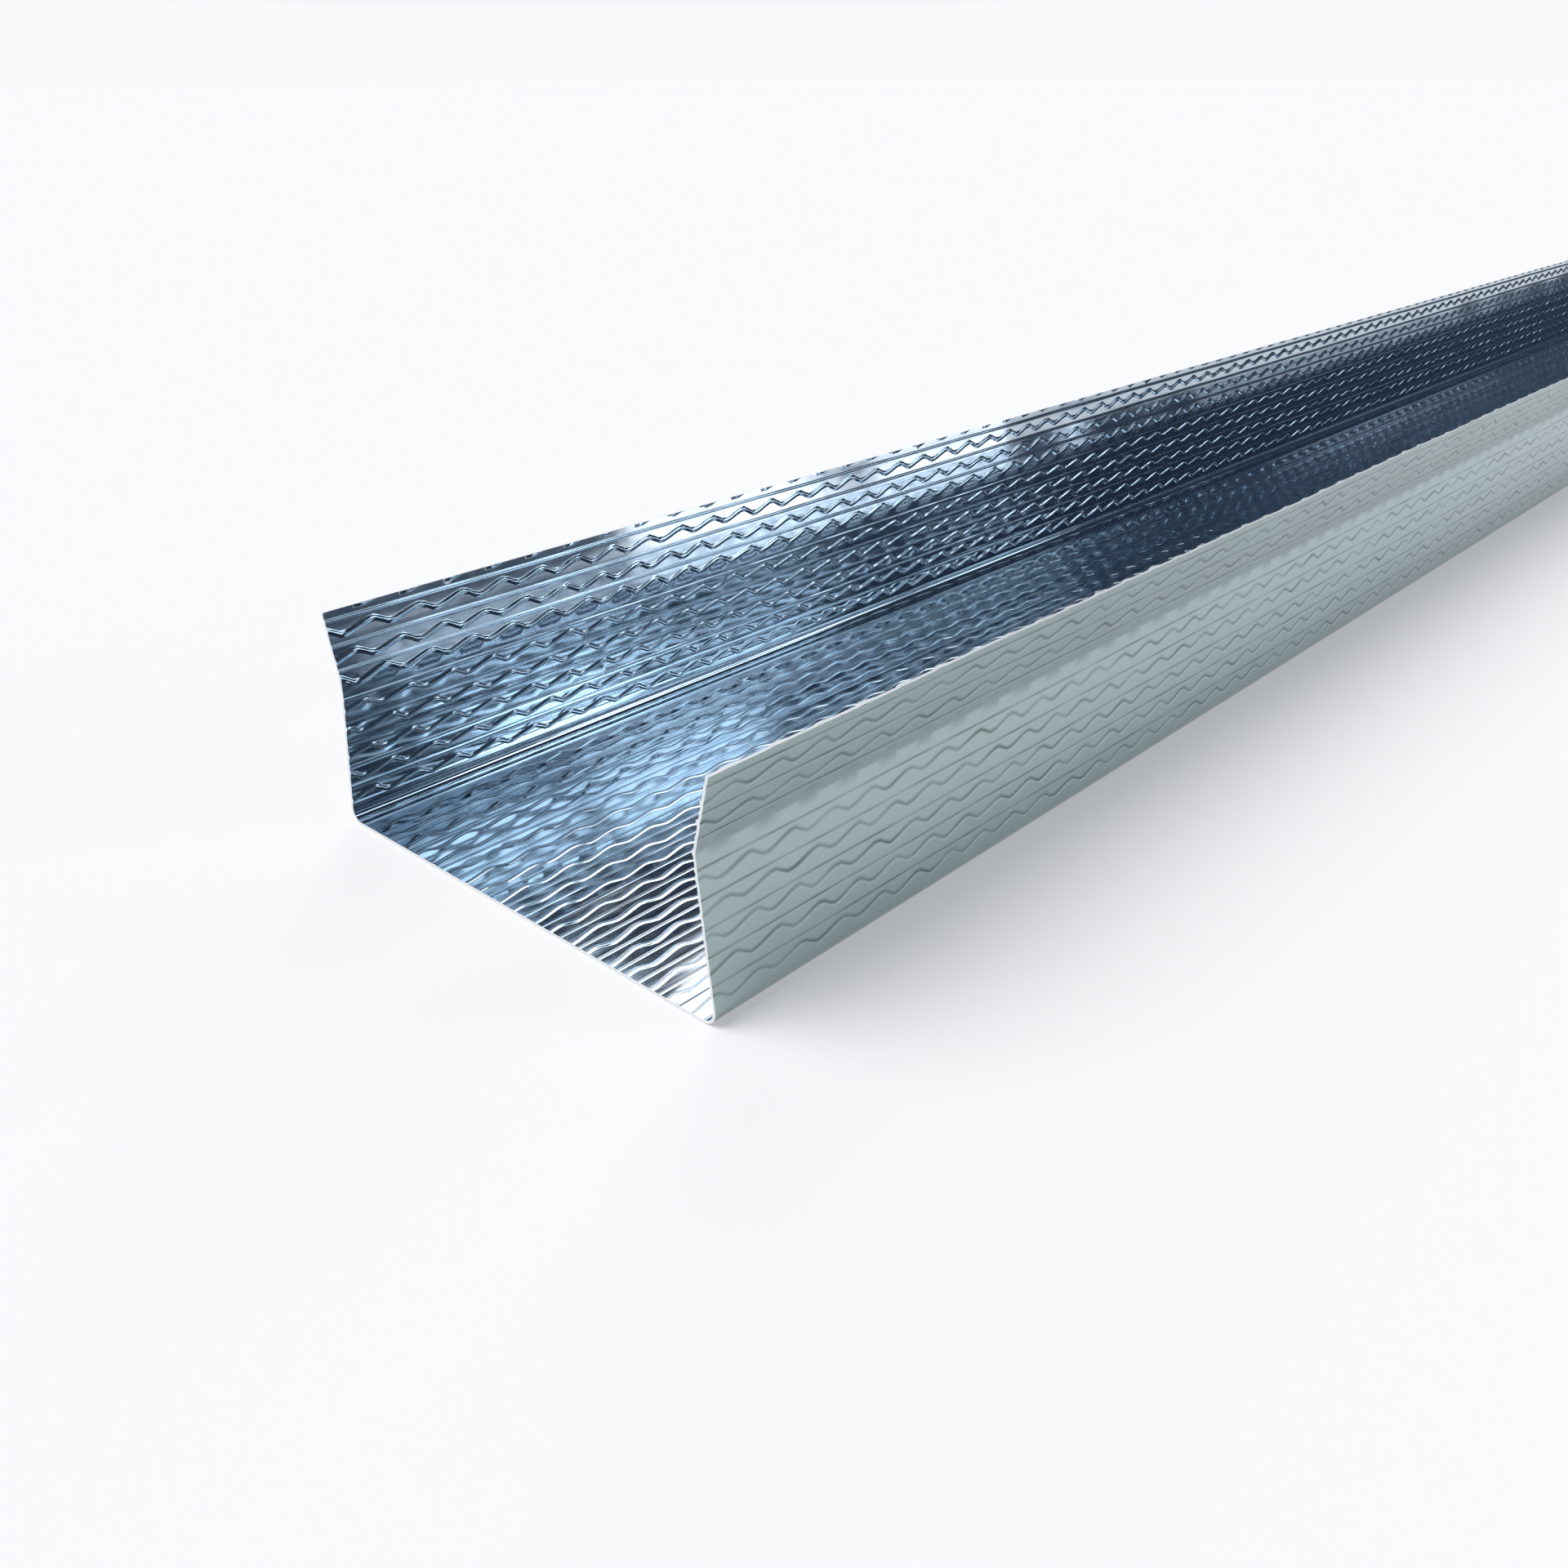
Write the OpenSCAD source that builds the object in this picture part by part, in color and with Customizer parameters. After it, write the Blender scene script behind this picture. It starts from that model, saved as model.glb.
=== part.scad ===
// Drywall track: one length of cold-formed galvanised steel sheet, a shallow channel whose two
// flanges lean in and end in flared lips. It lies on its web, open side up, and runs along X.
// The origin is at the middle of its length and width, on the underside of the web.
// All lengths are in millimetres and all angles in degrees.

/* [Stock] */
// Length that the track is cut to
track_length = 3048; // [300:1:6096]
// Width across the outside of the web
web_width = 88.9; // [50:0.1:203.2]
// Height of the flanges, from the underside of the web to the tips of the lips
flange_height = 38.1; // [31.8:0.1:76.2]
// Thickness of the steel sheet
sheet_thickness = 0.46; // [0.35:0.01:1.5]

/* [Flanges] */
// Lean of each flange in towards the middle
flange_lean = 7; // [0:0.5:10]
// Height of the lip along the top of each flange, above its crease
lip_height = 12; // [6:0.1:16]
// Flare of each lip out from the middle
lip_flare = 13; // [4:0.5:20]

/* [Bends] */
// Inside radius of the bend between the web and each flange
corner_radius = 2; // [0.8:0.1:4]
// Radius of the crease below each lip, on its hollow outer side
crease_radius = 1.5; // [0.4:0.1:4]

/* [Hidden] */

// Straight segments that make up each bend
BEND_STEPS = 12;

// Section coordinates are [across, up], and each value here is for the right-hand flange.
// The corner bend, from the underside of the web round to the flange's outer face
corner_outer_radius = corner_radius + sheet_thickness;
corner_centre = [web_width / 2 - corner_outer_radius, corner_outer_radius];
flange_foot = corner_centre + corner_outer_radius * direction(flange_lean);

// The crease, where the outer faces of the flange and the lip would meet if it were sharp
crease_height = flange_height - lip_height;
crease_vertex = flange_foot + (crease_height - flange_foot.y) * [-tan(flange_lean), 1];
crease_half_turn = (flange_lean + lip_flare) / 2;
crease_centre = crease_vertex
    + crease_radius / cos(crease_half_turn) * direction((flange_lean - lip_flare) / 2);

// The lip's outer face stops a little low, because its cut edge is square to the sheet
lip_rise = lip_height - sheet_thickness * sin(lip_flare);
lip_tip = crease_vertex + lip_rise * [tan(lip_flare), 1];

function direction(angle) = [cos(angle), sin(angle)];

function arc(centre, radius, from, to) =
    [for (i = [0 : BEND_STEPS]) centre + radius * direction(from + (to - from) * i / BEND_STEPS)];

// Half of one face of the sheet, from the web to the lip's tip, at a depth below the outer face
function half_face(depth) = concat(
    arc(corner_centre, corner_outer_radius - depth, -90, flange_lean),
    arc(crease_centre, crease_radius + depth, 180 + flange_lean, 180 - lip_flare),
    [lip_tip - depth * direction(-lip_flare)]
);

function mirrored(points) = [for (point = points) [-point.x, point.y]];

function reversed(points) = [for (i = [len(points) - 1 : -1 : 0]) points[i]];

// Outer face out to the right lip, back along the inner face to the left lip, and home again
function section() = concat(
    half_face(0),
    reversed(half_face(sheet_thickness)),
    mirrored(half_face(sheet_thickness)),
    reversed(mirrored(half_face(0)))
);

module track() {
    color([0.66, 0.71, 0.74])
    rotate([90, 0, 90])
    linear_extrude(height = track_length, center = true)
    polygon(section());
}

track();
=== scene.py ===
"""Drywall track: an embossed, galvanised steel channel lying on its web, open side up.

The sheet is rebuilt as closed runs of mesh that carry the embossing: rows of wavy ridges with a
straight ridge between each pair. The ridges stand proud inside the channel, and outside they are
shallower grooves. Lengths are in millimetres until a mesh, a lamp or the camera is made.
"""
import math

import bpy
import numpy as np
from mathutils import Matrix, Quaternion, Vector


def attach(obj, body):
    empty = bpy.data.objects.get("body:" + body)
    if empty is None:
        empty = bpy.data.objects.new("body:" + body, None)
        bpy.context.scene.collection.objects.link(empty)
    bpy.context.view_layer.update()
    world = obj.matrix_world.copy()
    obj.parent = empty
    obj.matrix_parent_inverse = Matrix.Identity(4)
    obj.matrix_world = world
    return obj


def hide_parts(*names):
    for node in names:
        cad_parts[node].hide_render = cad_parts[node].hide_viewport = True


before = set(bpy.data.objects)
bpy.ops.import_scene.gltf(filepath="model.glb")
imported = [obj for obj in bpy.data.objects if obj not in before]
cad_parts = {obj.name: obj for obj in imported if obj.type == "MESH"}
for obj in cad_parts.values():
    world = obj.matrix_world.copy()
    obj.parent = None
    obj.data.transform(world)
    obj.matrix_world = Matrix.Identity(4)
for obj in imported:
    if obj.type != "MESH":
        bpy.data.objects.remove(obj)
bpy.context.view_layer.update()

MM = 0.001

# The section, with the same values as part.scad.
TRACK_LENGTH = 3048.0
WEB_WIDTH = 88.9
FLANGE_HEIGHT = 38.1
SHEET_THICKNESS = 0.46
FLANGE_LEAN = math.radians(7)
LIP_HEIGHT = 12.0
LIP_FLARE = math.radians(13)
CORNER_RADIUS = 2.0
CREASE_RADIUS = 1.5

# Half of the flat strip as it folds, from the middle of the web to a tip: (length, turn) of each
# stretch, along the middle of the sheet. A turn is positive where the sheet bends upwards.
CORNER_OUTER = CORNER_RADIUS + SHEET_THICKNESS
FOOT_RISE = CORNER_OUTER * (1 + math.sin(FLANGE_LEAN))
CREASE_TURN = FLANGE_LEAN + LIP_FLARE
CREASE_TANGENT = CREASE_RADIUS * math.tan(CREASE_TURN / 2)
WEB_FLAT = WEB_WIDTH / 2 - CORNER_OUTER
CORNER_TURN = math.pi / 2 + FLANGE_LEAN
CORNER_ARC = (CORNER_RADIUS + SHEET_THICKNESS / 2) * CORNER_TURN
FLANGE_FLAT = (FLANGE_HEIGHT - LIP_HEIGHT - FOOT_RISE) / math.cos(FLANGE_LEAN) - CREASE_TANGENT
CREASE_ARC = (CREASE_RADIUS + SHEET_THICKNESS / 2) * CREASE_TURN
LIP_RISE = LIP_HEIGHT - SHEET_THICKNESS * math.sin(LIP_FLARE)
LIP_FLAT = LIP_RISE / math.cos(LIP_FLARE) - CREASE_TANGENT
FOLDS = [
    (WEB_FLAT, 0),
    (CORNER_ARC, CORNER_TURN),
    (FLANGE_FLAT, 0),
    (CREASE_ARC, -CREASE_TURN),
    (LIP_FLAT, 0),
]
CORNER_START = WEB_FLAT
CORNER_END = CORNER_START + CORNER_ARC
CREASE = CORNER_END + FLANGE_FLAT + CREASE_ARC / 2
TIP = CREASE + CREASE_ARC / 2 + LIP_FLAT

# Where the ridges lie: on the web from its middle, and on a flange from its crease, up.
PITCH = 4.33                 # from one wavy ridge to the next
WEB_WAVES = [38.175 - PITCH * k for k in range(19)]
WEB_LINES = [40.35 - PITCH * k for k in range(19)]
FLANGE_WAVES = [-21.65, -17.32, -12.99, -8.66, -4.33, 0.6, 4.33, 8.66, 12.99]
FLANGE_LINES = [-19.8, -15.4, -11.2, -6.8, -2.5, 2.4, 6.5, 10.7]
STRONG_LINE = -15.4
TALL_LINES_FROM = -5.0       # a flange's straight ridges above this are as tall as the lip's

# How the wavy ridges swing.
WAVELENGTH = 8.8
WAVE_SWING = 0.68            # each way from the middle of its row, on the flanges
WEB_SWING = 0.50             # the same, on the web
WAVE_RISE = 0.68             # share of a wavelength that climbs slowly, before the quick fall
WAVE_ROUNDING = 0.65         # 0 is a plain zigzag, and 1 is as round as a cosine
WAVE_DRIFT = 0.035           # how far a wave runs early or late, in wavelengths
SWING_CHANGE = 0.1           # how much the swing changes along a ridge, as a share
ROW_TURNS = 0.5              # how far on a wave is from its neighbours, in wavelengths
NEAR_TURNS = {-1: 0.6, 1: 0.2}               # how far on a flange's waves are at the near end

# The ridges' heights and half widths.
WAVE_HEIGHT = 0.32
WAVE_HALF_WIDTH = 0.65
LIP_LINE_HEIGHT = 0.18
LOW_LINE_HEIGHT = 0.09
STRONG_LINE_HEIGHT = 0.16
LINE_HALF_WIDTH = 0.40
WEB_WAVE_HEIGHT = 0.065
WEB_WAVE_HALF_WIDTH = 0.60
WEB_LINE_HEIGHT = 0.02
WEB_LINE_HALF_WIDTH = 0.42
HEIGHT_CHANGE = 0.18         # how much the height changes along a ridge, as a share
RIDGE_SWAY = 0.05            # how far any ridge strays from its place
RIDGE_REACH = 3.6            # rows that start further than this from a ridge never meet it
SLOPE_STEP = 0.1             # the step along the track, over which a ridge's drift is taken
OUTER_SHARE = 0.25           # of the relief, that shows as grooves on the outer face
PLAIN_CREASE = 1.0           # outside there is no relief this close to the middle of the crease

# The larger shape of the sheet.
SWELL_HEIGHT = 0.006         # the shallow roll of the sheet between rows
SWELL_PHASE = 0.22           # where a roll is highest, in lanes from the middle of a wavy row
SWELL_CLEAR = 1.0            # it starts this far from a corner
SWELL_FADE = 3.0             # and is full after this much more
LIP_WARP = 0.12              # how far the free edge wanders
WARP_POWER = 1.5             # of the distance up the flange

# The random curves: the lengths of the sines that each is made of, and the seeds.
SWAY_LENGTHS = (38, 90)
DRIFT_LENGTHS = (47, 83, 190)
SWING_LENGTHS = (21, 34, 71)
HEIGHT_LENGTHS = (11, 23, 58)
WARP_LENGTHS = (46, 75, 140, 330)
LENGTH_RANGE = (0.85, 1.15)  # a sine's own length, as a share of the one given
WEB_WAVE_SEED = 100
WEB_LINE_SEED = 200
FLANGE_WAVE_SEED = 300
FLANGE_LINE_SEED = 500
SIDE_SEED = 50               # a flange's seeds are this far above or below those given
RIDGE_SEEDS = 2              # how many seeds a ridge uses
WARP_SEED = 9

# The rows of vertices.
RIDGE_ROWS = (-1, -0.5, 0, 0.5, 1)           # across a ridge, in half widths
ROW_GAP = 0.03               # rows are never closer than this
TIP_ROWS = (0, 0.3, 0.6)     # plain rows this far from each free edge, which cuts through a wave
CREASE_GUARD = 1.7           # plain rows beside the crease, clear of its wave
CORNER_STEPS = 10

# The runs of mesh along the track, from the near end: (start, end, length of one step). The waves
# are modelled as far as WAVE_END, and beyond it the material's bump carries them on.
WAVE_END = 760.0
WAVE_FADE = 60.0
FINE_STEP = WAVELENGTH / 8
MIDDLE_STEP = WAVELENGTH / 6
FAR_STEP = 80.0
RUNS = [
    (0, 130, FINE_STEP),
    (130, 260, FINE_STEP),
    (260, 426, MIDDLE_STEP),
    (426, 593, MIDDLE_STEP),
    (593, WAVE_END, MIDDLE_STEP),
    (WAVE_END, TRACK_LENGTH, FAR_STEP),
]
FAR_WEB_CLEAR = 2.0          # the bump's waves stop this far from a corner on the web
FAR_FLANGE_CLEAR = 1.0       # and this far from it on a flange

# The chart for baking, in shares of the square.
CHART_MARGIN = 0.01
CHART_LENGTH = 0.98
CHART_WIDTH = 0.475
CHART_OUTER_START = 0.515

# The materials: two linear colours each, between which the zinc is mottled. Inside and outside are
# one zinc painted as two copies: the inside's blue is a painted reflection of blue light, and the
# outside's darker grey-green is painted shade.
STEEL_PAINTED_BLUE_REFLECTION = (0.46, 0.54, 0.62), (0.56, 0.63, 0.70)
STEEL_PAINTED_OUTER_SHADE = (0.36, 0.44, 0.455), (0.42, 0.51, 0.52)
STEEL_CUT = (0.70, 0.72, 0.74), (0.84, 0.86, 0.88)
GROOVE_PAINTED_SHADE = 0.45        # how much darker painted shade makes the zinc deep in a groove
# Noise: (cycles per metre, detail, roughness).
MOTTLE = (260, 3.0, 0.6)
MARKS = (900, 2.0, 0.5)
DENTS = (160, 1.0, 0.5)
MARKS_STRETCH = (0.12, 1.0, 1.0)             # the rolling marks are long along the track
MARKS_SHARE = 0.45           # of the colour's noise, the rest being mottle
BLEND_RANGE = (0.3, 0.7)     # the noise at which the roughness is least and most
DENTS_DEPTH = 3.0            # as a multiple of the rolling marks' depth

# The camera, where the photograph's perspective puts it. Its place is in metres.
CAMERA_PLACE = (-1.63031, -0.15525, 0.11416)
CAMERA_BEARING = math.radians(42.695)
CAMERA_DIP = math.radians(26.709)
CAMERA_ROLL = math.radians(0.268)
LENS = 32.02
SENSOR_WIDTH = 36.0
CLIP_START = 0.01
CLIP_END = 200

# The lamps: (name, bearing, elevation, width, strength, colour), with the angles in degrees. A
# bearing is from the direction of the track's far end, positive towards -Y.
WHITE = (1.0, 1.0, 1.0)
SKY_BLUE = (0.74, 0.90, 1.0)
LAMPS = [
    ("key", -140, 50, 50, 3.4, WHITE),
    ("white_low", -39, 19, 16, 0.200, WHITE),
    ("white_high", -37, 40, 20, 0.260, WHITE),
    ("white_mid", -25, 29, 9, 0.030, WHITE),
    ("white_far", -20, 12, 11, 0.030, WHITE),
    ("white_near", -54, 25, 12, 0.045, WHITE),
    ("edge_near", 46, 4, 7, 0.022, WHITE),
    ("edge_far", 38, 4, 7, 0.014, WHITE),
    ("blue_low", 60, 15, 9, 0.052, SKY_BLUE),
    ("blue_mid", 51, 14.5, 8, 0.042, SKY_BLUE),
    ("blue_strip", 49, 23, 8, 0.060, SKY_BLUE),
    ("blue_end", 41, 20.5, 7, 0.046, SKY_BLUE),
    ("blue_tail", 34, 18, 6, 0.028, SKY_BLUE),
    ("blue_high", 53, 43, 9, 0.035, SKY_BLUE),
    ("blue_patch", 45.5, 38, 10, 0.120, SKY_BLUE),
    ("blue_foot", 37, 34, 8, 0.045, SKY_BLUE),
    ("blue_left", -54, 38, 9, 0.035, SKY_BLUE),
]
LAMP_DISTANCE = 3.0          # in metres, for show only: a sun lights the same from anywhere

# The world's colours, from the horizon to straight up: (sine of the elevation, colour).
SKY = [
    (0.00, (0.94, 0.955, 0.97)),
    (0.046, (0.93, 0.945, 0.96)),
    (0.053, (0.30, 0.36, 0.45)),
    (0.062, (0.08, 0.11, 0.15)),
    (0.15, (0.05, 0.07, 0.11)),
    (0.22, (0.035, 0.05, 0.08)),
    (0.90, (0.03, 0.04, 0.06)),
    (1.00, (0.60, 0.62, 0.66)),
]

# The floor, in metres. It lies just below the web, which rests at 0.
FLOOR_REACH = 60.0
FLOOR_LEVEL = -0.0001
FLOOR_COLOUR = (0.88, 0.88, 0.88, 1)
FLOOR_GLOW = (0.98, 0.98, 0.98, 1)
FLOOR_GLOW_SHARE = 0.35      # of the floor as the camera and the metal see it


def fold(strip):
    """Where points of the flat strip lie once it is folded: (across, up, heading) of its middle."""
    distance = np.abs(strip)
    across = np.zeros_like(distance)
    up = np.full_like(distance, SHEET_THICKNESS / 2)
    heading = np.zeros_like(distance)
    start, start_heading = 0.0, 0.0
    for length, turn in FOLDS:
        part = np.clip(distance - start, 0, length)
        if turn:
            radius = length / turn
            end_heading = start_heading + part / radius
            across += radius * (np.sin(end_heading) - math.sin(start_heading))
            up += radius * (math.cos(start_heading) - np.cos(end_heading))
            heading += part / radius
        else:
            across += part * math.cos(start_heading)
            up += part * math.sin(start_heading)
        start += length
        start_heading += turn
    return across * np.sign(strip), up, heading


def wave(turns):
    """The lateral swing of a wavy ridge, from -1 to 1: a slow climb, then a quick fall."""
    t = turns % 1.0
    climbed = np.where(t < WAVE_RISE, t / WAVE_RISE, (1 - t) / (1 - WAVE_RISE))
    return WAVE_ROUNDING * -np.cos(math.pi * climbed) + (1 - WAVE_ROUNDING) * (2 * climbed - 1)


def wander(rng, along, lengths, size):
    """A smooth random curve along the track, made of one sine for each of the given lengths."""
    total = np.zeros_like(along)
    for length in lengths:
        phase = rng.uniform(0, 2 * math.pi)
        total += np.sin(2 * math.pi * along / (length * rng.uniform(*LENGTH_RANGE)) + phase)
    return size * total / math.sqrt(len(lengths))


class Ridge:
    """One embossed ridge, that runs the length of the track. It is wavy or straight."""

    def __init__(self, place, half_width, height, seed, swing=0.0, turns=0.0):
        self.place = place              # of its middle, on the strip
        self.half_width = half_width
        self.height = height
        self.seed = seed
        self.swing = swing              # below 0 where it climbs towards -Y, and 0 if it is straight
        self.turns = turns              # how far on the wave is at the near end, in wavelengths

    def middle(self, along):
        """The strip place of its middle at each distance along the track."""
        rng = np.random.default_rng(self.seed)
        sway = wander(rng, along, SWAY_LENGTHS, RIDGE_SWAY)
        drift = wander(rng, along, DRIFT_LENGTHS, WAVE_DRIFT)
        swing = self.swing * (1 + wander(rng, along, SWING_LENGTHS, SWING_CHANGE))
        # The rows go straight in the first millimetre past the modelled waves.
        ease = np.clip(WAVE_END + 1 - along, 0, 1)
        turns = along / WAVELENGTH + self.turns + drift
        return self.place + ease * (swing * wave(turns) + sway)

    def strength(self, along):
        """Its height at each distance along the track."""
        rng = np.random.default_rng(self.seed + 1)
        height = self.height * (1 + wander(rng, along, HEIGHT_LENGTHS, HEIGHT_CHANGE))
        if self.swing:
            height = height * np.clip((WAVE_END - along) / WAVE_FADE, 0, 1)
        return height

    def rows(self):
        """The rows of vertices that follow it: (ridge, offset from its middle)."""
        return [(self, share * self.half_width) for share in RIDGE_ROWS]


def web_ridges():
    """The ridges of the web, the wavy ones first."""
    ridges = []
    for index, place in enumerate(WEB_WAVES):
        ridges.append(Ridge(place, WEB_WAVE_HALF_WIDTH, WEB_WAVE_HEIGHT,
                            WEB_WAVE_SEED + RIDGE_SEEDS * index,
                            WEB_SWING, ROW_TURNS * (index % 2)))
    for index, place in enumerate(WEB_LINES):
        ridges.append(Ridge(place, WEB_LINE_HALF_WIDTH, WEB_LINE_HEIGHT,
                            WEB_LINE_SEED + RIDGE_SEEDS * index))
    return ridges


def line_height(place):
    """The height of a flange's straight ridge."""
    if place == STRONG_LINE:
        return STRONG_LINE_HEIGHT
    return LIP_LINE_HEIGHT if place > TALL_LINES_FROM else LOW_LINE_HEIGHT


def flange_ridges(side):
    """The ridges of the flange at -Y, where side is -1, or at +Y, where it is 1."""
    ridges = []
    for index, place in enumerate(FLANGE_WAVES):
        ridges.append(Ridge(side * (CREASE + place), WAVE_HALF_WIDTH, WAVE_HEIGHT,
                            FLANGE_WAVE_SEED + SIDE_SEED * side + RIDGE_SEEDS * index,
                            side * WAVE_SWING, ROW_TURNS * (index % 2) + NEAR_TURNS[side]))
    for index, place in enumerate(FLANGE_LINES):
        ridges.append(Ridge(side * (CREASE + place), LINE_HALF_WIDTH, line_height(place),
                            FLANGE_LINE_SEED + SIDE_SEED * side + RIDGE_SEEDS * index))
    return ridges


def all_rows(ridges):
    """Every row of vertices, from the tip at -Y, across the web, to the tip at +Y."""
    rows = [row for ridge in ridges if abs(ridge.place) < TIP for row in ridge.rows()]
    for side in (-1, 1):
        for step in range(CORNER_STEPS + 1):
            rows.append((None, side * (CORNER_START + CORNER_ARC * step / CORNER_STEPS)))
        rows.append((None, side * (CREASE - CREASE_GUARD)))
        rows.append((None, side * (CREASE + CREASE_GUARD)))
        rows.extend((None, side * (TIP - inset)) for inset in TIP_ROWS)
    return sorted(rows, key=lambda row: (row[0].place if row[0] else 0) + row[1])


def embossing(ridges, strip, along):
    """The relief at each point: its height, its slopes across and along the sheet, and how far up a
    ridge the point is, from 0 to 1."""
    height = np.zeros_like(strip)
    depth = np.zeros_like(strip)
    slope_across = np.zeros_like(strip)
    slope_along = np.zeros_like(strip)
    half_step = SLOPE_STEP / 2
    for ridge in ridges:
        near = np.abs(strip[:, 0] - ridge.place) < RIDGE_REACH
        drift = (ridge.middle(along + half_step) - ridge.middle(along - half_step)) / SLOPE_STEP
        strength = ridge.strength(along)
        t = np.clip((strip[near] - ridge.middle(along)) / ridge.half_width, -1, 1)
        steepness = -0.5 * math.pi / ridge.half_width * strength * np.sin(math.pi * t)
        profile = 0.5 + 0.5 * np.cos(math.pi * t)
        height[near] += strength * profile
        depth[near] = np.maximum(depth[near], profile * strength / ridge.height)
        slope_across[near] += steepness
        slope_along[near] -= steepness * drift
    return height, slope_across, slope_along, depth


def lane(strip):
    """Counts rows of waves across a face, whole on the middle of each: (lanes, side, on the web)."""
    side = np.where(strip < 0, -1, 1)
    on_web = np.abs(strip) < (CORNER_START + CORNER_END) / 2
    web_lanes = (strip - WEB_WAVES[0]) / PITCH
    flange_lanes = (np.abs(strip) - CREASE) / PITCH
    return np.where(on_web, web_lanes, flange_lanes), side, on_web


def swell(strip):
    """The shallow roll of the sheet between the rows, and its slope. It fades out at the corners."""
    lanes, side, _ = lane(strip)
    distance = np.abs(strip)
    web_gap = CORNER_START - SWELL_CLEAR - distance
    flange_gap = distance - CORNER_END - SWELL_CLEAR
    gap = np.maximum(np.maximum(web_gap, flange_gap), 0)
    share = np.clip(gap / SWELL_FADE, 0, 1) * SWELL_HEIGHT
    sign = np.where(distance < CORNER_START, 1, side)
    angle = 2 * math.pi * (lanes - SWELL_PHASE)
    return share * (0.5 + 0.5 * np.cos(angle)), -share * sign * math.pi / PITCH * np.sin(angle)


def warp(strip, along):
    """How far the flanges wander in and out of true, most at the free edge."""
    rng = np.random.default_rng(WARP_SEED)
    reach = np.clip((np.abs(strip) - CORNER_END) / (TIP - CORNER_END), 0, 1) ** WARP_POWER
    curves = [wander(rng, along, WARP_LENGTHS, LIP_WARP) for _ in range(2)]
    return reach * np.where(strip < 0, curves[0], curves[1])


def warp_slope(strip, along):
    """How much the warp changes over one millimetre along the track."""
    return warp(strip, along + 0.5) - warp(strip, along - 0.5)


class Run:
    """The vertices of one run of the track: rows across it, columns along it."""

    def __init__(self, ridges, rows, start, end, step):
        count = max(1, round((end - start) / step))
        along = np.linspace(start, end, count + 1)
        self.along = np.tile(along, (len(rows), 1))
        self.strip = np.stack([(ridge.middle(along) if ridge else 0 * along) + offset
                               for ridge, offset in rows])
        spacing = ROW_GAP * np.arange(len(rows))[:, None]
        self.strip = np.maximum.accumulate(self.strip - spacing, axis=0) + spacing
        height, slope_across, slope_along, depth = embossing(ridges, self.strip, along)
        roll, roll_slope = swell(self.strip)
        self.relief = height + roll, slope_across + roll_slope, slope_along
        bend = warp(self.strip, self.along)
        bend_slope = warp_slope(self.strip, self.along)
        half = SHEET_THICKNESS / 2
        # The crease's own wave isn't seen outside, where the crease is straight.
        off_crease = np.clip(np.abs(np.abs(self.strip) - CREASE) - PLAIN_CREASE, 0, 1)
        self.depth = depth * off_crease
        self.inner, self.inner_facing = self.face(bend + half, bend_slope, 1.0)
        self.outer, outer_facing = self.face(bend - half, bend_slope, OUTER_SHARE * off_crease)
        self.outer_facing = -outer_facing

    def face(self, level, level_slope, share):
        """Folds the strip at a level and lifts it by its share of the relief: (points, normals)."""
        height, slope_across, slope_along = self.relief
        across, up, heading = fold(self.strip)
        side = np.where(self.strip < 0, -1, 1)
        tangent = np.stack([np.zeros_like(across), np.cos(heading), side * np.sin(heading)], -1)
        normal = np.stack([np.zeros_like(across), -side * np.sin(heading), np.cos(heading)], -1)
        middle = np.stack([self.along - TRACK_LENGTH / 2, across, up], -1)
        points = middle + (level + share * height)[..., None] * normal
        facing = normal - (share * slope_across)[..., None] * tangent
        facing[..., 0] -= share * slope_along + level_slope
        return points, facing / np.linalg.norm(facing, axis=-1, keepdims=True)


def strip_quads(a, b):
    """Quads between two lines of vertices."""
    return np.stack([a[:-1], a[1:], b[1:], b[:-1]], -1).reshape(-1, 4)


def sheet_quads(rows, columns):
    """The faces of a closed run: (inner face, outer face, free edges and cut ends)."""
    inner = np.arange(rows * columns).reshape(rows, columns)
    outer = inner + rows * columns
    face = np.stack([inner[:-1, :-1], inner[:-1, 1:], inner[1:, 1:], inner[1:, :-1]], -1)
    face = face.reshape(-1, 4)
    edges = np.concatenate([
        strip_quads(outer[0], inner[0]),
        strip_quads(inner[-1], outer[-1]),
        strip_quads(inner[:, 0], outer[:, 0]),
        strip_quads(outer[:, -1], inner[:, -1]),
    ])
    return face, (face + rows * columns)[:, ::-1], edges


def relief_coordinates(run):
    """For the material's bump: wavelengths along the track, and lanes across it."""
    lanes, side, on_web = lane(run.strip)
    # A flange's lanes count from the crease, where the sixth wave runs, which is an odd one.
    flange_turns = np.where(side > 0, NEAR_TURNS[1], NEAR_TURNS[-1]) + ROW_TURNS
    return np.stack([run.along / WAVELENGTH + np.where(on_web, 0, flange_turns), lanes], -1)


def relief_values(run):
    """What the material needs at each vertex: the depth of the outer face's grooves, which sets
    their painted shade, and the share and size in millimetres of the waves that it carries on,
    beyond the modelled ones."""
    distance = np.abs(run.strip)
    on_web = lane(run.strip)[2]
    on_flange = distance > CORNER_END + FAR_FLANGE_CLEAR
    off_corner = (distance < CORNER_START - FAR_WEB_CLEAR) | on_flange
    return {
        "groove": run.depth,
        "far_share": off_corner * (1 - np.clip((WAVE_END - run.along) / WAVE_FADE, 0, 1)),
        "far_height": np.where(on_web, WEB_WAVE_HEIGHT, WAVE_HEIGHT),
        "far_swing": np.where(on_web, WEB_SWING, WAVE_SWING),
        "far_half_width": np.where(on_web, WEB_WAVE_HALF_WIDTH, WAVE_HALF_WIDTH),
    }


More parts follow.
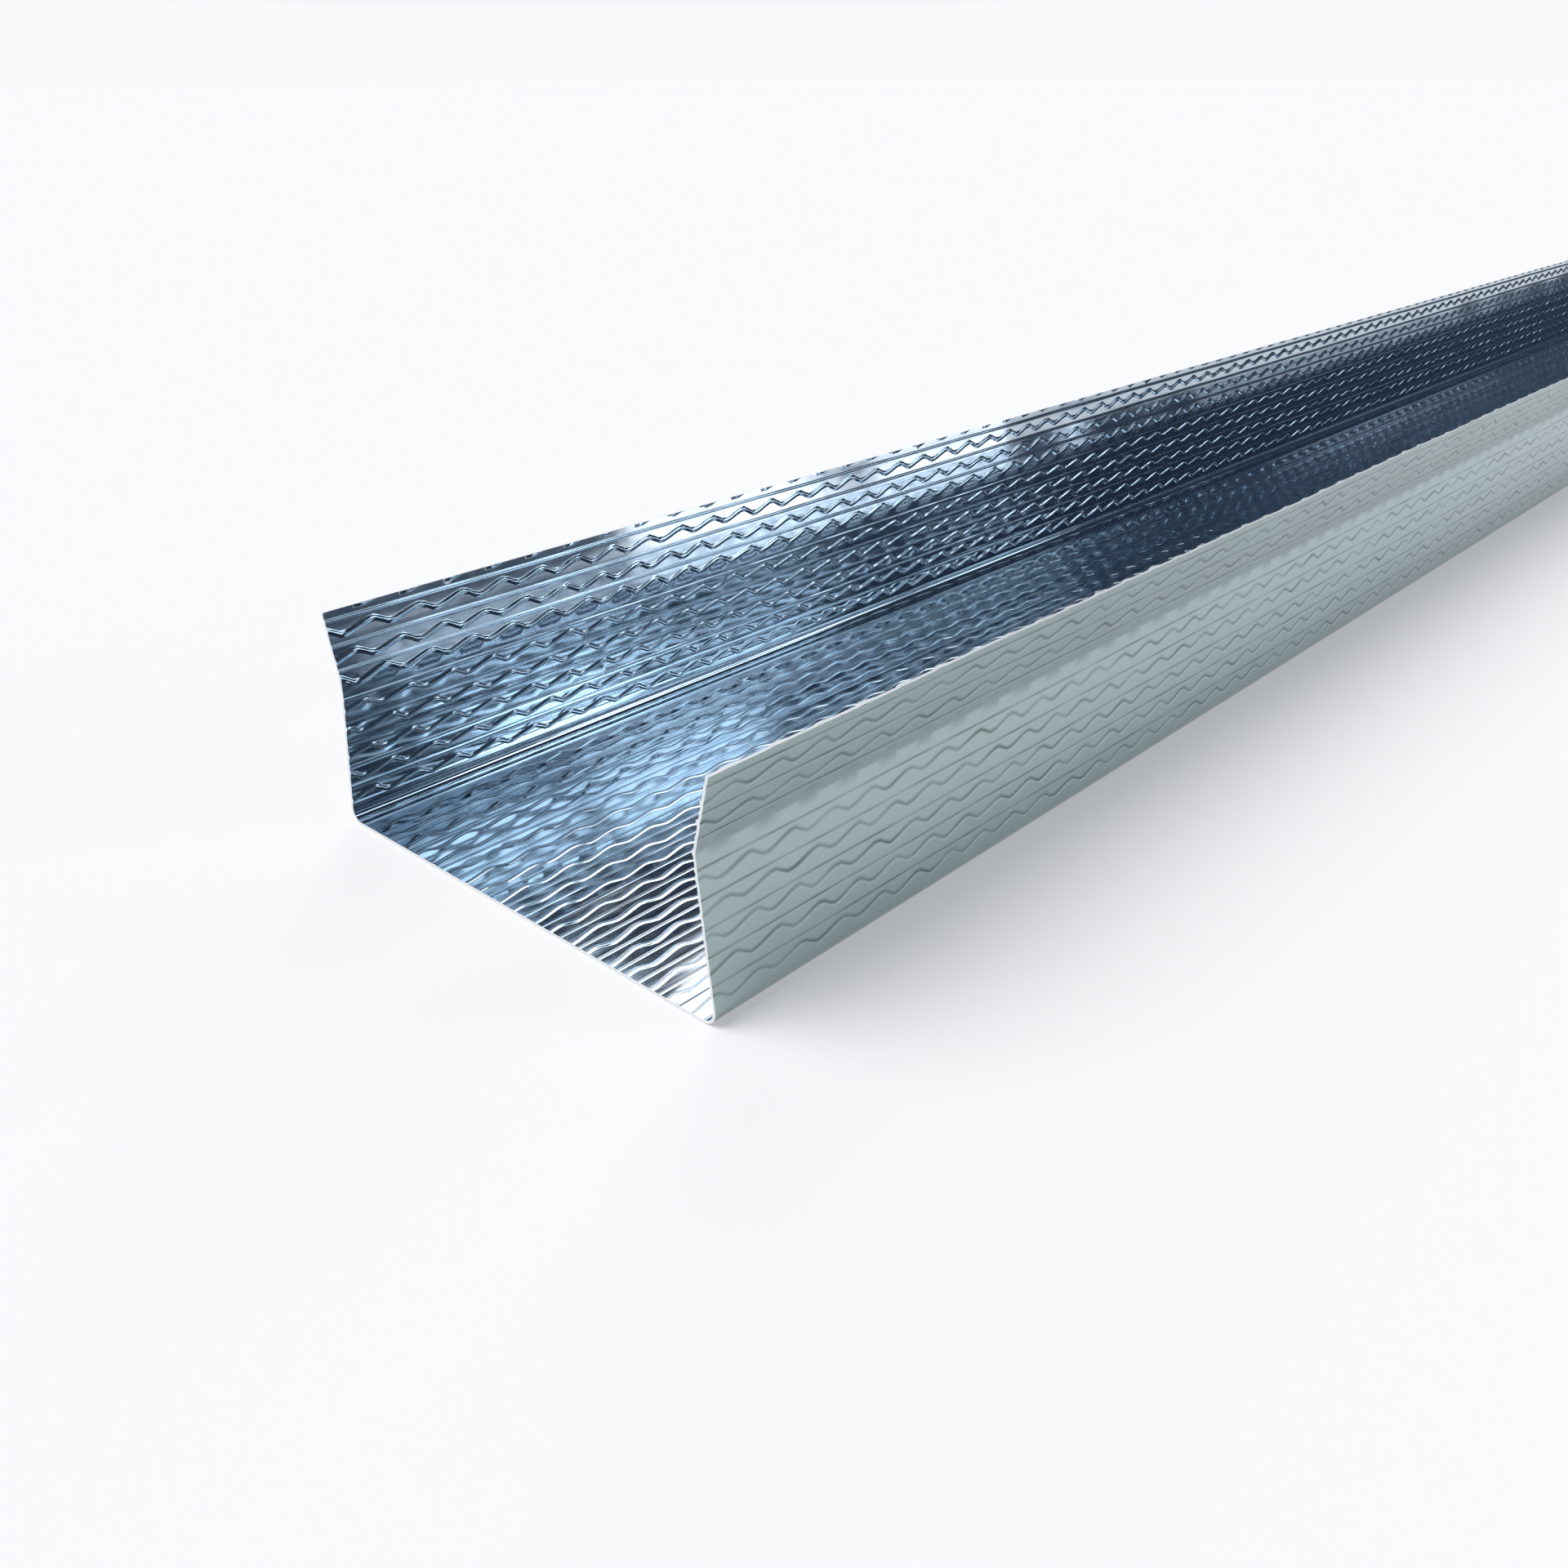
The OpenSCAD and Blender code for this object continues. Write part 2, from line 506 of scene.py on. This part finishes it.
def bake_coordinates(run):
    """A chart for baking: the inner face in the lower half of the square, the outer above it."""
    start, end = run.along[0, 0], run.along[0, -1]
    along = CHART_MARGIN + CHART_LENGTH * (run.along - start) / (end - start)
    across = (run.strip + TIP) / (2 * TIP)
    inner = np.stack([along, CHART_MARGIN + CHART_WIDTH * across], -1)
    outer = np.stack([along, CHART_OUTER_START + CHART_WIDTH * across], -1)
    return inner, outer


def vertex_list(inner, outer):
    """The inner face's vertices and then the outer face's, from two grids of the same kind."""
    return np.concatenate([inner.reshape(-1, inner.shape[-1]), outer.reshape(-1, outer.shape[-1])])


def fill_mesh(mesh, points, quads):
    """Gives an empty mesh its vertices and its four-sided faces."""
    mesh.vertices.add(len(points))
    mesh.vertices.foreach_set("co", points.ravel().astype(np.float32))
    mesh.loops.add(quads.size)
    mesh.loops.foreach_set("vertex_index", quads.ravel().astype(np.int32))
    mesh.polygons.add(len(quads))
    mesh.polygons.foreach_set("loop_start", np.arange(0, quads.size, 4, dtype=np.int32))


def add_layer(mesh, name, per_vertex, loops):
    """A UV map from one coordinate per vertex."""
    layer = mesh.uv_layers.new(name=name)
    layer.uv.foreach_set("vector", per_vertex[loops].ravel().astype(np.float32))


def add_surface_data(mesh, run, loops):
    """The UV maps and the vertex values that the materials and the bake read."""
    relief = relief_coordinates(run)
    add_layer(mesh, "Relief", vertex_list(relief, relief), loops)
    add_layer(mesh, "OFBake", vertex_list(*bake_coordinates(run)), loops)
    for name, values in relief_values(run).items():
        layer = mesh.attributes.new(name, "FLOAT", "POINT")
        layer.data.foreach_set("value", np.tile(values.ravel(), 2).astype(np.float32))


def set_normals(mesh, run, loops, first_edge):
    """Both faces take the relief's own normals. The loops from first_edge on are the free edges and
    cut ends, which stay flat."""
    normals = vertex_list(run.inner_facing, run.outer_facing)[loops]
    flat = np.zeros(len(mesh.polygons) * 3, dtype=np.float32)
    mesh.polygons.foreach_get("normal", flat)
    normals[first_edge:] = np.repeat(flat.reshape(-1, 3), 4, axis=0)[first_edge:]
    mesh.normals_split_custom_set(normals)


def make_run(name, run, materials):
    """The mesh object of one run. The materials are the inner face's, the outer's and the cuts'."""
    face, back, edges = sheet_quads(*run.along.shape)
    quads = np.concatenate([face, back, edges])
    loops = quads.ravel()
    sides = len(face) + len(back)
    mesh = bpy.data.meshes.new(name)
    fill_mesh(mesh, vertex_list(run.inner, run.outer) * MM, quads)
    mesh.polygons.foreach_set("use_smooth", np.arange(len(quads)) < sides)
    slots = np.zeros(len(quads), dtype=np.int32)
    slots[len(face):sides] = 1
    slots[sides:] = 2
    mesh.polygons.foreach_set("material_index", slots)
    for material in materials:
        mesh.materials.append(material)
    mesh.update(calc_edges=True)
    add_surface_data(mesh, run, loops)
    set_normals(mesh, run, loops, 4 * sides)
    made = bpy.data.objects.new(name, mesh)
    bpy.context.scene.collection.objects.link(made)
    return made


def node(tree, kind, **sockets):
    """A shader node. A socket goes by its name, or by its number after a _, and its value is a
    number, a colour or another node's output."""
    made = tree.nodes.new(kind)
    for name, value in sockets.items():
        socket = made.inputs[int(name[1:])] if name[0] == "_" else made.inputs[name]
        if isinstance(value, bpy.types.NodeSocket):
            tree.links.new(value, socket)
        else:
            socket.default_value = value
    return made


def maths(tree, operation, a, b=0.0, c=0.0):
    """One step of arithmetic."""
    made = node(tree, "ShaderNodeMath", _0=a, _1=b, _2=c)
    made.operation = operation
    return made.outputs[0]


def noise(tree, where, scale, detail, roughness):
    """A noise texture's value, from 0 to 1. The scale is in cycles per metre."""
    made = node(tree, "ShaderNodeTexNoise", Vector=where, Scale=scale, Detail=detail,
                Roughness=roughness)
    return made.outputs["Fac"]


def smooth_step(tree, value, low, high, start, end):
    """A smooth change from start to end, as value goes from low to high."""
    made = node(tree, "ShaderNodeMapRange", Value=value)
    made.interpolation_type = "SMOOTHSTEP"
    for name, number in (("From Min", low), ("From Max", high), ("To Min", start), ("To Max", end)):
        made.inputs[name].default_value = number
    return made.outputs[0]


def attribute(tree, name):
    """A value that a mesh carries at each vertex."""
    made = tree.nodes.new("ShaderNodeAttribute")
    made.attribute_name = name
    return made.outputs["Fac"]


def far_waves(tree):
    """The profile, from 0 to 1, of the wavy ridges that are not modelled."""
    relief = tree.nodes.new("ShaderNodeUVMap")
    relief.uv_map = "Relief"
    split = node(tree, "ShaderNodeSeparateXYZ", Vector=relief.outputs[0])
    lanes = split.outputs["Y"]
    nearest = maths(tree, "ROUND", lanes)
    row_turns = maths(tree, "MULTIPLY", maths(tree, "FLOORED_MODULO", nearest, 2.0), ROW_TURNS)
    t = maths(tree, "FRACT", maths(tree, "ADD", split.outputs["X"], row_turns))
    climb = smooth_step(tree, t, 0, WAVE_RISE, -1, 1)
    drop = smooth_step(tree, t, WAVE_RISE, 1, 0, -2)
    swing = maths(tree, "MULTIPLY", maths(tree, "ADD", climb, drop), attribute(tree, "far_swing"))
    aside = maths(tree, "MULTIPLY", maths(tree, "SUBTRACT", lanes, nearest), PITCH)
    distance = maths(tree, "ABSOLUTE", maths(tree, "SUBTRACT", aside, swing))
    share = maths(tree, "DIVIDE", distance, attribute(tree, "far_half_width"))
    profile = smooth_step(tree, share, 0, 1, 1, 0)
    return maths(tree, "MULTIPLY", profile, attribute(tree, "far_share"))


def rolling_marks(tree, where):
    """The fine marks of the rolls, long along the track."""
    stretched = node(tree, "ShaderNodeVectorMath", _0=where, _1=MARKS_STRETCH)
    stretched.operation = "MULTIPLY"
    return noise(tree, stretched.outputs[0], *MARKS)


def mixed(tree, blend, dark, light):
    """A colour from dark to light, as blend goes from 0 to 1."""
    made = tree.nodes.new("ShaderNodeMix")
    made.data_type = "RGBA"
    tree.links.new(blend, made.inputs["Factor"])
    # The Mix node has an A and a B for each data type, and the colours are the third pair.
    made.inputs[6].default_value = (*dark, 1)
    made.inputs[7].default_value = (*light, 1)
    return made.outputs[2]


def painted_groove_shade(tree, zinc, waves):
    """The zinc, with painted shade that darkens it in the grooves, whether they are modelled or are
    the bump's waves.
    """
    depth = maths(tree, "POWER", maths(tree, "ADD", attribute(tree, "groove"), waves), 2.0)
    shade = maths(tree, "MULTIPLY_ADD", depth, -GROOVE_PAINTED_SHADE, 1.0)
    made = node(tree, "ShaderNodeVectorMath", _0=zinc)
    made.operation = "SCALE"
    tree.links.new(shade, made.inputs["Scale"])
    return made.outputs[0]


def galvanised(name, colours, roughness, grain, metallic=1.0, wave_share=0.0):
    """Galvanised steel: a mottled zinc coat over fine rolling marks. The roughness is (least, most),
    and grain is the depth of the marks. wave_share is how much of the height of the bump's waves
    this face has. Where it is below zero they are grooves, and painted shade darkens the zinc in
    them."""
    material = bpy.data.materials.new(name)
    material.use_nodes = True
    tree = material.node_tree
    shader = tree.nodes["Principled BSDF"]
    shader.inputs["Metallic"].default_value = metallic
    where = tree.nodes.new("ShaderNodeTexCoord").outputs["Object"]
    marks = rolling_marks(tree, where)
    mottle = maths(tree, "MULTIPLY", noise(tree, where, *MOTTLE), 1 - MARKS_SHARE)
    blend = maths(tree, "MULTIPLY_ADD", marks, MARKS_SHARE, mottle)
    zinc = mixed(tree, blend, *colours)
    dents = node(tree, "ShaderNodeBump", Distance=DENTS_DEPTH * grain * MM,
                 Height=noise(tree, where, *DENTS))
    if wave_share:
        waves = far_waves(tree)
        height = maths(tree, "MULTIPLY", waves, attribute(tree, "far_height"))
        bump = node(tree, "ShaderNodeBump", Distance=wave_share * MM, Height=height)
        tree.links.new(bump.outputs[0], dents.inputs["Normal"])
        if wave_share < 0:
            # painted shade: the zinc is darkened in the outer face's grooves
            zinc = painted_groove_shade(tree, zinc, waves)
    fine = node(tree, "ShaderNodeBump", Distance=grain * MM, Height=marks, Normal=dents.outputs[0])
    tree.links.new(zinc, shader.inputs["Base Color"])
    tree.links.new(smooth_step(tree, blend, *BLEND_RANGE, *roughness), shader.inputs["Roughness"])
    tree.links.new(fine.outputs[0], shader.inputs["Normal"])
    return material


def direction(bearing, elevation):
    """A unit vector. The bearing is from +X, positive towards +Y, and both angles are in radians."""
    level = math.cos(elevation)
    return Vector((math.cos(bearing) * level, math.sin(bearing) * level, math.sin(elevation)))


def add_camera():
    """The scene's camera."""
    data = bpy.data.cameras.new("camera")
    data.sensor_width = SENSOR_WIDTH
    data.lens = LENS
    data.clip_start = CLIP_START
    data.clip_end = CLIP_END
    camera = bpy.data.objects.new("camera", data)
    camera.location = CAMERA_PLACE
    look = direction(CAMERA_BEARING, -CAMERA_DIP)
    camera.rotation_mode = "QUATERNION"
    camera.rotation_quaternion = look.to_track_quat("-Z", "Y") @ Quaternion((0, 0, 1), -CAMERA_ROLL)
    bpy.context.scene.collection.objects.link(camera)
    bpy.context.scene.camera = camera


def add_lamp(name, bearing, elevation, width, strength, colour):
    """A round softbox far away."""
    data = bpy.data.lights.new(name, "SUN")
    data.angle = math.radians(width)
    data.energy = strength
    data.color = colour
    lamp = bpy.data.objects.new(name, data)
    towards = direction(-math.radians(bearing), math.radians(elevation))
    lamp.rotation_mode = "QUATERNION"
    lamp.rotation_quaternion = towards.to_track_quat("Z", "Y")
    lamp.location = towards * LAMP_DISTANCE
    bpy.context.scene.collection.objects.link(lamp)


def add_world():
    """A pale horizon under a dim, cool studio ceiling."""
    world = bpy.data.worlds.new("studio")
    bpy.context.scene.world = world
    world.use_nodes = True
    tree = world.node_tree
    back = tree.nodes["Background"]
    where = tree.nodes.new("ShaderNodeTexCoord").outputs["Generated"]
    height = node(tree, "ShaderNodeSeparateXYZ", Vector=where).outputs["Z"]
    ramp = tree.nodes.new("ShaderNodeValToRGB")
    tree.links.new(height, ramp.inputs["Fac"])
    elements = ramp.color_ramp.elements
    while len(elements) < len(SKY):
        elements.new(1.0)
    for element, (position, colour) in zip(elements, SKY):
        element.position = position
        element.color = (*colour, 1)
    tree.links.new(ramp.outputs["Color"], back.inputs["Color"])


def floor_material():
    """Plain and matt. As the camera and the metal see it, part of it is an even, near-white glow."""
    material = bpy.data.materials.new("floor")
    material.use_nodes = True
    tree = material.node_tree
    tree.nodes.remove(tree.nodes["Principled BSDF"])
    diffuse = node(tree, "ShaderNodeBsdfDiffuse", Color=FLOOR_COLOUR)
    glow = node(tree, "ShaderNodeEmission", Color=FLOOR_GLOW, Strength=1.0)
    path = tree.nodes.new("ShaderNodeLightPath")
    seen = maths(tree, "MAXIMUM", path.outputs["Is Camera Ray"], path.outputs["Is Glossy Ray"])
    seen = maths(tree, "MAXIMUM", seen, path.outputs["Is Transmission Ray"])
    share = maths(tree, "MULTIPLY", seen, FLOOR_GLOW_SHARE)
    mix = node(tree, "ShaderNodeMixShader", _0=share, _1=diffuse.outputs[0], _2=glow.outputs[0])
    tree.links.new(mix.outputs[0], tree.nodes["Material Output"].inputs["Surface"])
    return material


def add_floor():
    """A pale floor, that keeps the track's shadow and runs out to the horizon."""
    mesh = bpy.data.meshes.new("floor")
    corners = [(-1, -1), (1, -1), (1, 1), (-1, 1)]
    points = [(FLOOR_REACH * x, FLOOR_REACH * y, FLOOR_LEVEL) for x, y in corners]
    mesh.from_pydata(points, [], [(0, 1, 2, 3)])
    mesh.materials.append(floor_material())
    floor = bpy.data.objects.new("floor", mesh)
    bpy.context.scene.collection.objects.link(floor)


add_camera()
add_world()
add_floor()
for lamp_values in LAMPS:
    add_lamp(*lamp_values)

steel = [
    # the inside's blue is a painted reflection, and the outside's darker grey-green is painted shade
    galvanised("steel_inside", STEEL_PAINTED_BLUE_REFLECTION, (0.05, 0.09), 0.003, wave_share=1.0),
    galvanised("steel_outside", STEEL_PAINTED_OUTER_SHADE, (0.22, 0.30), 0.006, wave_share=-OUTER_SHARE),
    galvanised("steel_cut", STEEL_CUT, (0.40, 0.55), 0.010, metallic=0.4),
]
strip_ridges = web_ridges() + flange_ridges(-1) + flange_ridges(1)
strip_rows = all_rows(strip_ridges)
for number, (start, end, step) in enumerate(RUNS, start=1):
    piece = make_run(f"track_run_{number}", Run(strip_ridges, strip_rows, start, end, step), steel)
    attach(piece, "root")
    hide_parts("track")

bpy.context.scene.view_settings.view_transform = "Standard"
